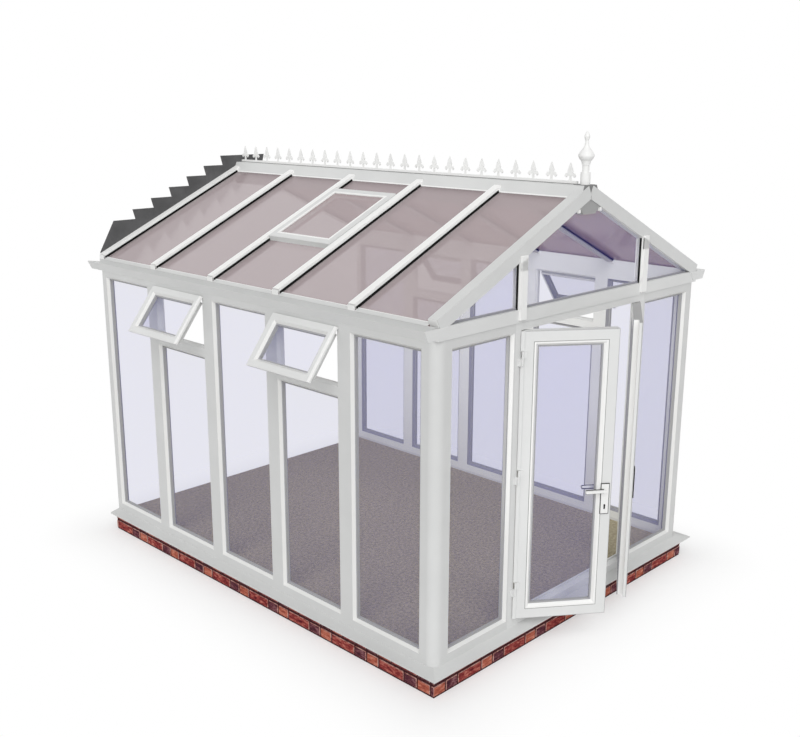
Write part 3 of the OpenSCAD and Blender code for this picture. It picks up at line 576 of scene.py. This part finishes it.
for side, name in sides:
    blocks = []
    for middle in barMiddles:
        place = roofPlace(side, middle)
        for way in (-1, 1):
            if way > 0 and middle == barMiddles[-1]:
                continue  # the last bar has the flashing there
            inner = way * capHalf
            blocks.append(((barFoot, side * inner, fit["clear"]),
                           (slopeLength - seal["shortTop"], side * (inner + way * seal["width"]),
                            seal["height"]), place))
            inner = way * flangeHalf
            blocks.append(((wallFoot + seal["shortUnder"], side * inner, glassUnder - seal["underHeight"]),
                           (slopeLength - seal["shortUnder"], side * (inner + way * seal["underWidth"]),
                            glassUnder - fit["clear"]), place))
    addBlockPiece(name + "_roof_seals", blocks, rubberAndShadowBlack)

    blocks = []  # grey sleeves under the bars, on the room side
    foot = glassUnder - roof["flangeHeight"]
    low, high = wallFoot + sleeve["short"], slopeLength - sleeve["short"]
    for middle in barMiddles[:-1]:
        place = roofPlace(side, middle)
        wide = flangeHalf + sleeve["thick"]
        blocks.append(((low, -wide, foot - sleeve["thick"]), (high, wide, foot - fit["touch"]), place))
        for way in (-1, 1):
            blocks.append(((low, way * wide, foot), (high, way * (flangeHalf + fit["touch"]),
                                                     glassUnder - seal["underHeight"]), place))
    addBlockPiece(name + "_bar_sleeves", blocks, sleeveGrey)

    blocks = []  # white feet of the bars, and of the front rafter, bright as painted highlight on their shaded ends
    half = clip["width"] / 2
    for middle in barMiddles:
        reach = min(half, capHalf + fit["margin"]) if middle == barMiddles[-1] else half
        x = barFoot - clip["out"]
        stand = roofPlace(side, middle) @ Matrix.Translation((-clip["shift"], 0, 0)) @ upright
        blocks.append(((x - clip["thickness"], -side * half, -clip["below"]),
                       (x, side * reach, clip["over"]), stand))
    place = roofPlace(side, (profile["frameIn"] + wallIn) / 2)
    blocks.append(((barFoot - clip["thickness"], -clip["rafterHalf"], -clip["rafterBelow"]),
                   (barFoot - fit["near"], clip["rafterHalf"], clip["rafterOver"]), place))
    addBlockPiece(name + "_bar_clips", blocks, highlightPlastic, soft=clip["soft"])

    blocks = []  # painted highlight: bright strips round the front edge of each cap
    start, end = barFoot + fit["free"], slopeLength - cap["short"]
    for middle in barMiddles:
        place = roofPlace(side, middle)
        outer = -side * (capHalf + cap["side"])
        blocks.append(((start, outer, seal["height"] - fit["margin"]),
                       (end, -side * (capHalf - fit["near"]), roof["capHeight"]), place))
        blocks.append(((start, outer, roof["capHeight"] - fit["near"]),
                       (end, -side * (capHalf - cap["top"]), roof["capHeight"] + cap["plate"]), place))
    addBlockPiece(name + "_cap_highlights", blocks, highlightPlastic)

    inner = capHalf + seal["width"]  # painted shade: flat grey strips on the house side of the bars
    blocks = [((start, side * inner, fit["clear"]), (end, side * (inner + sideShade["width"]), sideShade["thickness"]),
               roofPlace(side, middle)) for middle in barMiddles[:-1]]
    addBlockPiece(name + "_bar_side_shade", blocks, trimShadeGrey, soft=sideShade["soft"])

    blocks, lines = [], []  # grey trim along the lower edge of the panes, its grey a painted shade, with a bright line as painted highlight
    place = roofPlace(side)
    spans = [(wallIn, barMiddles[0] - clip["rafterHalf"])]
    spans += [(a + clip["rafterHalf"], b - clip["rafterHalf"]) for a, b in zip(barMiddles, barMiddles[1:])]
    lineAt = trim["reach"] - trim["line"]
    for a, b in spans:
        blocks.append(((glassFoot - trim["under"], side * a, fit["clear"]),
                       (lineAt, side * b, trim["thickness"]), place))
        lines.append(((lineAt, side * a, fit["clear"]), (trim["reach"], side * b, trim["lineHigh"]), place))
    blocks.append(((-trim["front"] - fit["free"], side * trim["first"], -trim["deep"]),
                   (-fit["free"], side * (barMiddles[-1] + trim["past"]), fit["margin"]),
                   place @ Matrix.Translation((glassFoot, 0, 0)) @ upright))
    addBlockPiece(name + "_glass_edge_trim", blocks, trimShadeGrey, soft=trim["soft"])
    addBlockPiece(name + "_glass_edge_highlight", lines, trimPlastic, soft=trim["lineSoft"])

# Roof vent
vent = {"start": 0.530, "long": 0.640, "wide": 0.650, "frame": 0.060, "top": 0.041, "bead": 0.014,
        "beadUnder": 0.006, "beadProud": 0.002, "skirt": 0.0015, "skirtTop": 0.004, "soft": 0.001}
place = roofPlace(1, (barMiddles[1] + barMiddles[2]) / 2)
foot = vent["start"] / math.cos(roof["pitch"])
head = (vent["start"] + vent["long"]) / math.cos(roof["pitch"])
low, high = foot + vent["frame"], head - vent["frame"]
half = vent["wide"] / 2 - vent["frame"]
wide = half + vent["bead"]
# Painted highlight: the bright bead inside the vent frame.
blocks = [((a, c, vent["top"] - vent["beadUnder"]), (b, d, vent["top"] + vent["beadProud"]), place)
          for a, b, c, d in ((low - vent["bead"], low + fit["margin"], -wide, wide),
                             (high - fit["margin"], high + vent["bead"], -wide, wide),
                             (low, high, -wide, -half + fit["margin"]),
                             (low, high, half - fit["margin"], wide))]
addBlockPiece("roof_vent_bead", blocks, highlightPlastic, soft=vent["soft"])
# Painted shade: the grey skirt on the foot and one side of the vent.
half = vent["wide"] / 2
blocks = [((a, c, fit["margin"]), (b, d, vent["top"] - vent["skirtTop"]), place)
          for a, b, c, d in ((foot - fit["margin"], foot + vent["skirt"], -half, half),
                             (foot, head, -half - fit["margin"], -half + vent["skirt"]))]
addBlockPiece("roof_vent_skirt", blocks, trimShadeGrey)
print("roof seals and clips done")

# Ridge
ridge = {"lipHeight": 0.010, "lipOut": 0.004, "lipFrom": 0.05, "soft": 0.0008, "plateOut": 0.0015,
         "plateRound": 0.001, "stepHalf": 0.050, "stepTop": 0.003, "stepShort": 0.004,
         "footWide": 0.003, "footTop": 0.004, "footShort": 0.010}
ridgeFoot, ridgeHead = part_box("ridge_cap")
lean = math.atan2(roof["ridgeRise"], roof["ridgeFoot"] - roof["ridgeFlat"])
blocks = []
for side in (1, -1):
    edge = Matrix.Translation((-side * roof["ridgeFoot"], 0, ridgeFoot.z))
    tilt = edge @ Matrix.Rotation(-side * lean, 4, "Y")
    blocks.append(((0.0, ridgeFoot.y + ridge["lipFrom"], -fit["margin"]),
                   (side * ridge["lipHeight"], ridgeHead.y, ridge["lipOut"]), tilt))
addBlockPiece("ridge_cap_lips", blocks, trimPlastic, soft=ridge["soft"])
# Painted shade: a dark grey plate on the front end of the ridge cap, with a dark strip and feet under the
# cresting.
bm = bmesh.new()
plate = addBlock(bm, (-1, ridgeFoot.y - ridge["plateOut"], ridgeFoot.z),
                 (1, ridgeFoot.y + fit["margin"], ridgeHead.z + fit["margin"]))
for v in plate:  # narrows to the flat of the cap
    v.co.x *= (roof["ridgeFlat"] if v.co.z > ridgeHead.z else roof["ridgeFoot"]) + ridge["plateRound"]
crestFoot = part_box("cresting")[0]
addBlock(bm, (-ridge["stepHalf"], ridgeFoot.y - fit["margin"], ridgeHead.z + fit["near"]),
         (ridge["stepHalf"], crestFoot.y - ridge["stepShort"], ridgeHead.z + ridge["stepTop"]))
for side in (1, -1):
    addBlock(bm, (side * abs(crestFoot.x), crestFoot.y, ridgeHead.z + fit["near"]),
             (side * (-crestFoot.x + ridge["footWide"]), ridgeHead.y - ridge["footShort"],
              ridgeHead.z + ridge["footTop"]))
addPiece("ridge_end_shade", bm, [ridgeShadeGrey])
print("ridge trim done")

# Gable seals, glazing bars, beam tabs and heads of the uprights
gable = {"upright": 0.0285, "middle": 0.770, "sealWidth": 0.004, "sealDepth": 0.014, "barGap": 0.0045,
         "barDeep": 0.005, "barHigh": 0.013, "barShort": 0.030, "soft": 0.001}
tab = {"wide": 0.020, "beside": 0.012, "under": 0.004, "out": 0.006, "in": 0.012, "soft": 0.0012}
apex = {"notch": 0.026, "line": 0.0022, "below": 0.006, "rafterOut": 0.022, "proud": 0.0012, "in": 0.0005}
uprightHead = {"above": 0.030, "below": 0.062, "soft": 0.0015}
gableFoot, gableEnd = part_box("gable_glass")
glassFront = gableFoot.y
blocks = []
for side in (1, -1):
    middle = -side * (halfWidth - gable["middle"])
    for way in (-1, 1):
        a = middle + way * gable["upright"]
        b = a + way * gable["sealWidth"]
        top = roofZ(max(abs(a), abs(b))) - roof["rafterUnder"]
        blocks.append(((a, glassFront - gable["sealDepth"], gableFoot.z),
                       (b, glassFront - fit["clear"], top), world))
addBlockPiece("gable_seals", blocks, rubberAndShadowBlack)
inner = halfWidth - gable["middle"] - gable["upright"] - gable["barGap"]
outer = halfWidth - gable["middle"] + gable["upright"] + gable["barGap"]
glassEnd = gableEnd.x
spans = ((-inner, inner), (outer, glassEnd - gable["barShort"]), (-glassEnd + gable["barShort"], -outer))
blocks = [((a, glassFront - gable["barDeep"], gableFoot.z + fit["near"]),
           (b, glassFront - fit["clear"], gableFoot.z + gable["barHigh"]), world) for a, b in spans]
addBlockPiece("gable_glazing_bars", blocks, slateAndShadeGrey, soft=gable["soft"])
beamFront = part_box("ridge_beam")[0].y
tabAt = roof["beamHalf"] + tab["beside"]
top = roofZ(tabAt) - roof["rafterUnder"]
blocks = [((side * tabAt - tab["wide"] / 2, beamFront - tab["out"], top - tab["wide"] - tab["under"]),
           (side * tabAt + tab["wide"] / 2, beamFront + tab["in"], top), world) for side in (1, -1)]
addBlockPiece("ridge_beam_tabs", blocks, trimPlastic, soft=tab["soft"])
crown = roofApex - roof["rafterUnder"]
front = wallFront + apex["rafterOut"]
addBlockPiece("apex_line", [((-apex["line"] / 2, front - apex["proud"], crown - apex["below"]),
                             (apex["line"] / 2, front + apex["in"], crown + apex["notch"]), world)], seamGrey)
blocks = []
for side in (1, -1):
    middle = -side * (halfWidth - gable["middle"])
    top = roofZ(abs(middle)) - roof["rafterUnder"]
    blocks.append(((middle - gable["upright"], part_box("gable_uprights")[0].y, top - uprightHead["below"]),
                   (middle + gable["upright"], front - fit["near"], top + uprightHead["above"]), world))
addBlockPiece("gable_upright_heads", blocks, trimPlastic, soft=uprightHead["soft"])
print("gable trim done")

# Lock and handles
lock = {"radius": 0.006, "length": 0.0265, "from": 0.568, "z": 0.768, "proud": 0.001, "slotHalf": 0.0045,
        "deep": 0.006}
handle = {"plateWide": 0.050, "above": 0.045, "below": 0.155, "shadowLine": 0.0038, "plateThick": 0.008,
          "out": 0.016, "high": 0.018, "long": 0.135, "z": 0.866, "neck": 0.010, "shadowLineUnder": 1.5,
          "shadowLineOver": 1.2, "shadowLineIn": 0.0013}
blindPlate = {"thick": 0.0125, "soft": 0.002}  # on the right leaf's outer face, with no lever
place = doorPlace(1)
bm = bmesh.new()
for y, inward in ((-handle["plateThick"] - lock["proud"], 1),
                  (door["depth"] + handle["plateThick"] + lock["proud"], -1)):
    disc = bmesh.ops.create_cone(bm, cap_ends=True, segments=24, radius1=lock["radius"],
                                 radius2=lock["radius"], depth=lock["deep"])["verts"]
    centre = Matrix.Translation((lock["from"], y + inward * lock["deep"] / 2, lock["z"]))
    bmesh.ops.transform(bm, verts=disc, matrix=place @ centre @ Matrix.Rotation(math.pi / 2, 4, "X"))
    addBlock(bm, (lock["from"] - lock["slotHalf"], y, lock["z"] - lock["length"]),
             (lock["from"] + lock["slotHalf"], y + inward * lock["deep"], lock["z"]), place)
addPiece("lock_cylinder", bm, [rubberAndShadowBlack], "left_door")


# Painted shadow: a black outline ring round a handle plate.
def addPlateShadowLine(bm, middle, y, deep, place):
    half, shadowLine = handle["plateWide"] / 2, handle["shadowLine"]
    addRing(bm, (middle - half - shadowLine, handle["z"] - handle["below"] - shadowLine),
            (middle + half + shadowLine, handle["z"] + handle["above"] + shadowLine), shadowLine, deep,
            place @ Matrix.Translation((0, y, 0)))


bm = bmesh.new()
deep = handle["plateThick"] - tab["soft"]
for y, way in ((-handle["plateThick"] + fit["margin"], 1),
               (door["depth"] + handle["plateThick"] - fit["margin"], -1)):
    addPlateShadowLine(bm, lock["from"], y, way * deep, place)
addPiece("handle_plate_shadow_line", bm, [rubberAndShadowBlack], "left_door")
grip = handle["high"] / 2
tip = lock["from"] - handle["long"] + grip
end = lock["from"] - handle["neck"]
under = handle["z"] - grip - handle["shadowLineUnder"] * handle["shadowLine"]
over = handle["z"] + grip + handle["shadowLineOver"] * handle["shadowLine"]
# Painted shadow: black strips along the top, bottom and tip of each lever.
blocks = []
for y in (-handle["out"] + fit["clear"], door["depth"] + handle["out"] - handle["shadowLineIn"]):
    for a, b in (((tip - handle["shadowLine"], under), (end, handle["z"] - grip)),
                 ((tip - handle["shadowLine"], handle["z"] + grip), (end, over)),
                 ((tip - handle["shadowLine"], handle["z"] - grip), (tip, handle["z"] + grip))):
        blocks.append(((a[0], y, a[1]), (b[0], y + fit["margin"], b[1]), place))
addBlockPiece("lever_shadow_line", blocks, rubberAndShadowBlack, "lever")
place = doorPlace(-1)
middle, half = door["width"] - lock["from"], handle["plateWide"] / 2
blocks = [((middle - half, -blindPlate["thick"], handle["z"] - handle["below"]),
           (middle + half, -fit["near"], handle["z"] + handle["above"]), place)]
addBlockPiece("right_door_plate", blocks, satinSteel, "right_door", blindPlate["soft"])
bm = bmesh.new()
addPlateShadowLine(bm, middle, -blindPlate["thick"] + fit["margin"], blindPlate["thick"] - tab["soft"], place)
addPiece("right_door_plate_shadow_line", bm, [rubberAndShadowBlack], "right_door")
print("lock and handles done")


# Stage, light and camera
def backgroundRays(nodes, links):  # 1 for the rays that show the background
    rays = nodes.new("ShaderNodeLightPath")
    seen = rays.outputs["Is Camera Ray"]
    for kind in ("Is Glossy Ray", "Is Transmission Ray"):
        either = nodes.new("ShaderNodeMath")
        either.operation = "MAXIMUM"
        links.new(seen, either.inputs[0])
        links.new(rays.outputs[kind], either.inputs[1])
        seen = either.outputs[0]
    return seen


def addVectorStep(nodes, links, operation, source):
    step = nodes.new("ShaderNodeVectorMath")
    step.operation = operation
    links.new(source, step.inputs[0])
    return step


def mixShaders(nodes, links, amount, first, second):
    mixed = nodes.new("ShaderNodeMixShader")
    links.new(amount, mixed.inputs["Fac"])
    links.new(first.outputs[0], mixed.inputs[1])
    links.new(second.outputs[0], mixed.inputs[2])
    return mixed


stage = {"radius": 60.0, "drop": 0.001, "fadeFrom": -0.45, "fadeTo": 0.7, "pale": 0.97, "bounce": 0.80}
bm = bmesh.new()
bmesh.ops.create_circle(bm, cap_ends=True, segments=96, radius=stage["radius"])
bmesh.ops.translate(bm, vec=(0, 0, -stage["drop"]), verts=bm.verts)
mesh = bpy.data.meshes.new("studio_floor")
bm.to_mesh(mesh)
bm.free()
studioFloor = bpy.data.objects.new("studio_floor", mesh)
bpy.context.scene.collection.objects.link(studioFloor)
paleFloor = bpy.data.materials.new("pale studio floor")
paleFloor.use_nodes = True
nodes, links = paleFloor.node_tree.nodes, paleFloor.node_tree.links
nodes.clear()
matt = nodes.new("ShaderNodeBsdfDiffuse")
matt.inputs["Color"].default_value = (*[stage["pale"]] * 3, 1)
dull = nodes.new("ShaderNodeBsdfDiffuse")
dull.inputs["Color"].default_value = (*[stage["bounce"]] * 3, 1)
white = nodes.new("ShaderNodeEmission")
white.inputs["Strength"].default_value = 1
coords = nodes.new("ShaderNodeTexCoord")
flat = addVectorStep(nodes, links, "ABSOLUTE", coords.outputs["Object"])
beyond = addVectorStep(nodes, links, "SUBTRACT", flat.outputs["Vector"])
beyond.inputs[1].default_value = (halfWidth, wallBack, 0)
outside = addVectorStep(nodes, links, "MAXIMUM", beyond.outputs["Vector"])
distance = addVectorStep(nodes, links, "LENGTH", outside.outputs["Vector"])
fade = nodes.new("ShaderNodeMapRange")  # the floor turns white away from the walls
fade.interpolation_type = "SMOOTHSTEP"
fade.inputs["From Min"].default_value = stage["fadeFrom"]
fade.inputs["From Max"].default_value = stage["fadeTo"]
links.new(distance.outputs["Value"], fade.inputs["Value"])
shown = mixShaders(nodes, links, fade.outputs["Result"], matt, white)
mixed = mixShaders(nodes, links, backgroundRays(nodes, links), dull, shown)
output = nodes.new("ShaderNodeOutputMaterial")
links.new(mixed.outputs[0], output.inputs["Surface"])
mesh.materials.append(paleFloor)

light = {"ambient": 0.42, "shown": 1.0, "toSun": (-0.60, -0.54, 0.59), "sunLevel": 0.67, "sunSoftness": 60}
studio = bpy.data.worlds.new("plain studio")
bpy.context.scene.world = studio
studio.use_nodes = True
nodes, links = studio.node_tree.nodes, studio.node_tree.links
nodes.clear()
skies = []
for level in (light["ambient"], light["shown"]):
    sky = nodes.new("ShaderNodeBackground")
    sky.inputs["Color"].default_value = (1, 1, 1, 1)
    sky.inputs["Strength"].default_value = level
    skies.append(sky)
mixed = mixShaders(nodes, links, backgroundRays(nodes, links), *skies)
output = nodes.new("ShaderNodeOutputWorld")
links.new(mixed.outputs[0], output.inputs["Surface"])

sunData = bpy.data.lights.new("soft_sun", "SUN")
sunData.energy = light["sunLevel"] * math.pi
sunData.angle = math.radians(light["sunSoftness"])
sun = bpy.data.objects.new("soft_sun", sunData)
sun.rotation_euler = Vector(light["toSun"]).to_track_quat("Z", "Y").to_euler()
bpy.context.scene.collection.objects.link(sun)

roomLight = {"level": 16.0, "in": 1.31, "height": 1.60, "wide": 1.35, "long": 3.4, "spread": 110}
for side, name in sides:  # soft light across the room, from each side to the other
    lampData = bpy.data.lights.new(name + "_room_light", "AREA")
    lampData.shape = "RECTANGLE"
    lampData.size, lampData.size_y = roomLight["wide"], roomLight["long"]
    lampData.spread = math.radians(roomLight["spread"])
    lampData.energy = roomLight["level"]
    lamp = bpy.data.objects.new(name + "_room_light", lampData)
    lamp.location = (-side * roomLight["in"], 0, roomLight["height"])
    lamp.rotation_euler = (0, -side * math.pi / 2, 0)
    lamp.visible_camera = False
    lamp.visible_glossy = False
    bpy.context.scene.collection.objects.link(lamp)

camera = {"place": (-5.5122, -5.5402, 3.5029), "heading": 44.582, "down": 14.604, "roll": 0.127,
          "lens": 46.13}
cameraData = bpy.data.cameras.new("camera")
cameraData.lens = camera["lens"]
cameraData.sensor_width = 36
cameraData.clip_start, cameraData.clip_end = 0.1, 300
viewer = bpy.data.objects.new("camera", cameraData)
viewer.location = camera["place"]
aim = Euler((math.radians(90 - camera["down"]), 0, math.radians(camera["heading"] - 90))).to_matrix()
viewer.rotation_euler = (aim @ Matrix.Rotation(math.radians(camera["roll"]), 3, "Z")).to_euler()
bpy.context.scene.collection.objects.link(viewer)
bpy.context.scene.camera = viewer
bpy.context.scene.view_settings.view_transform = "Standard"
print("stage, light and camera done")
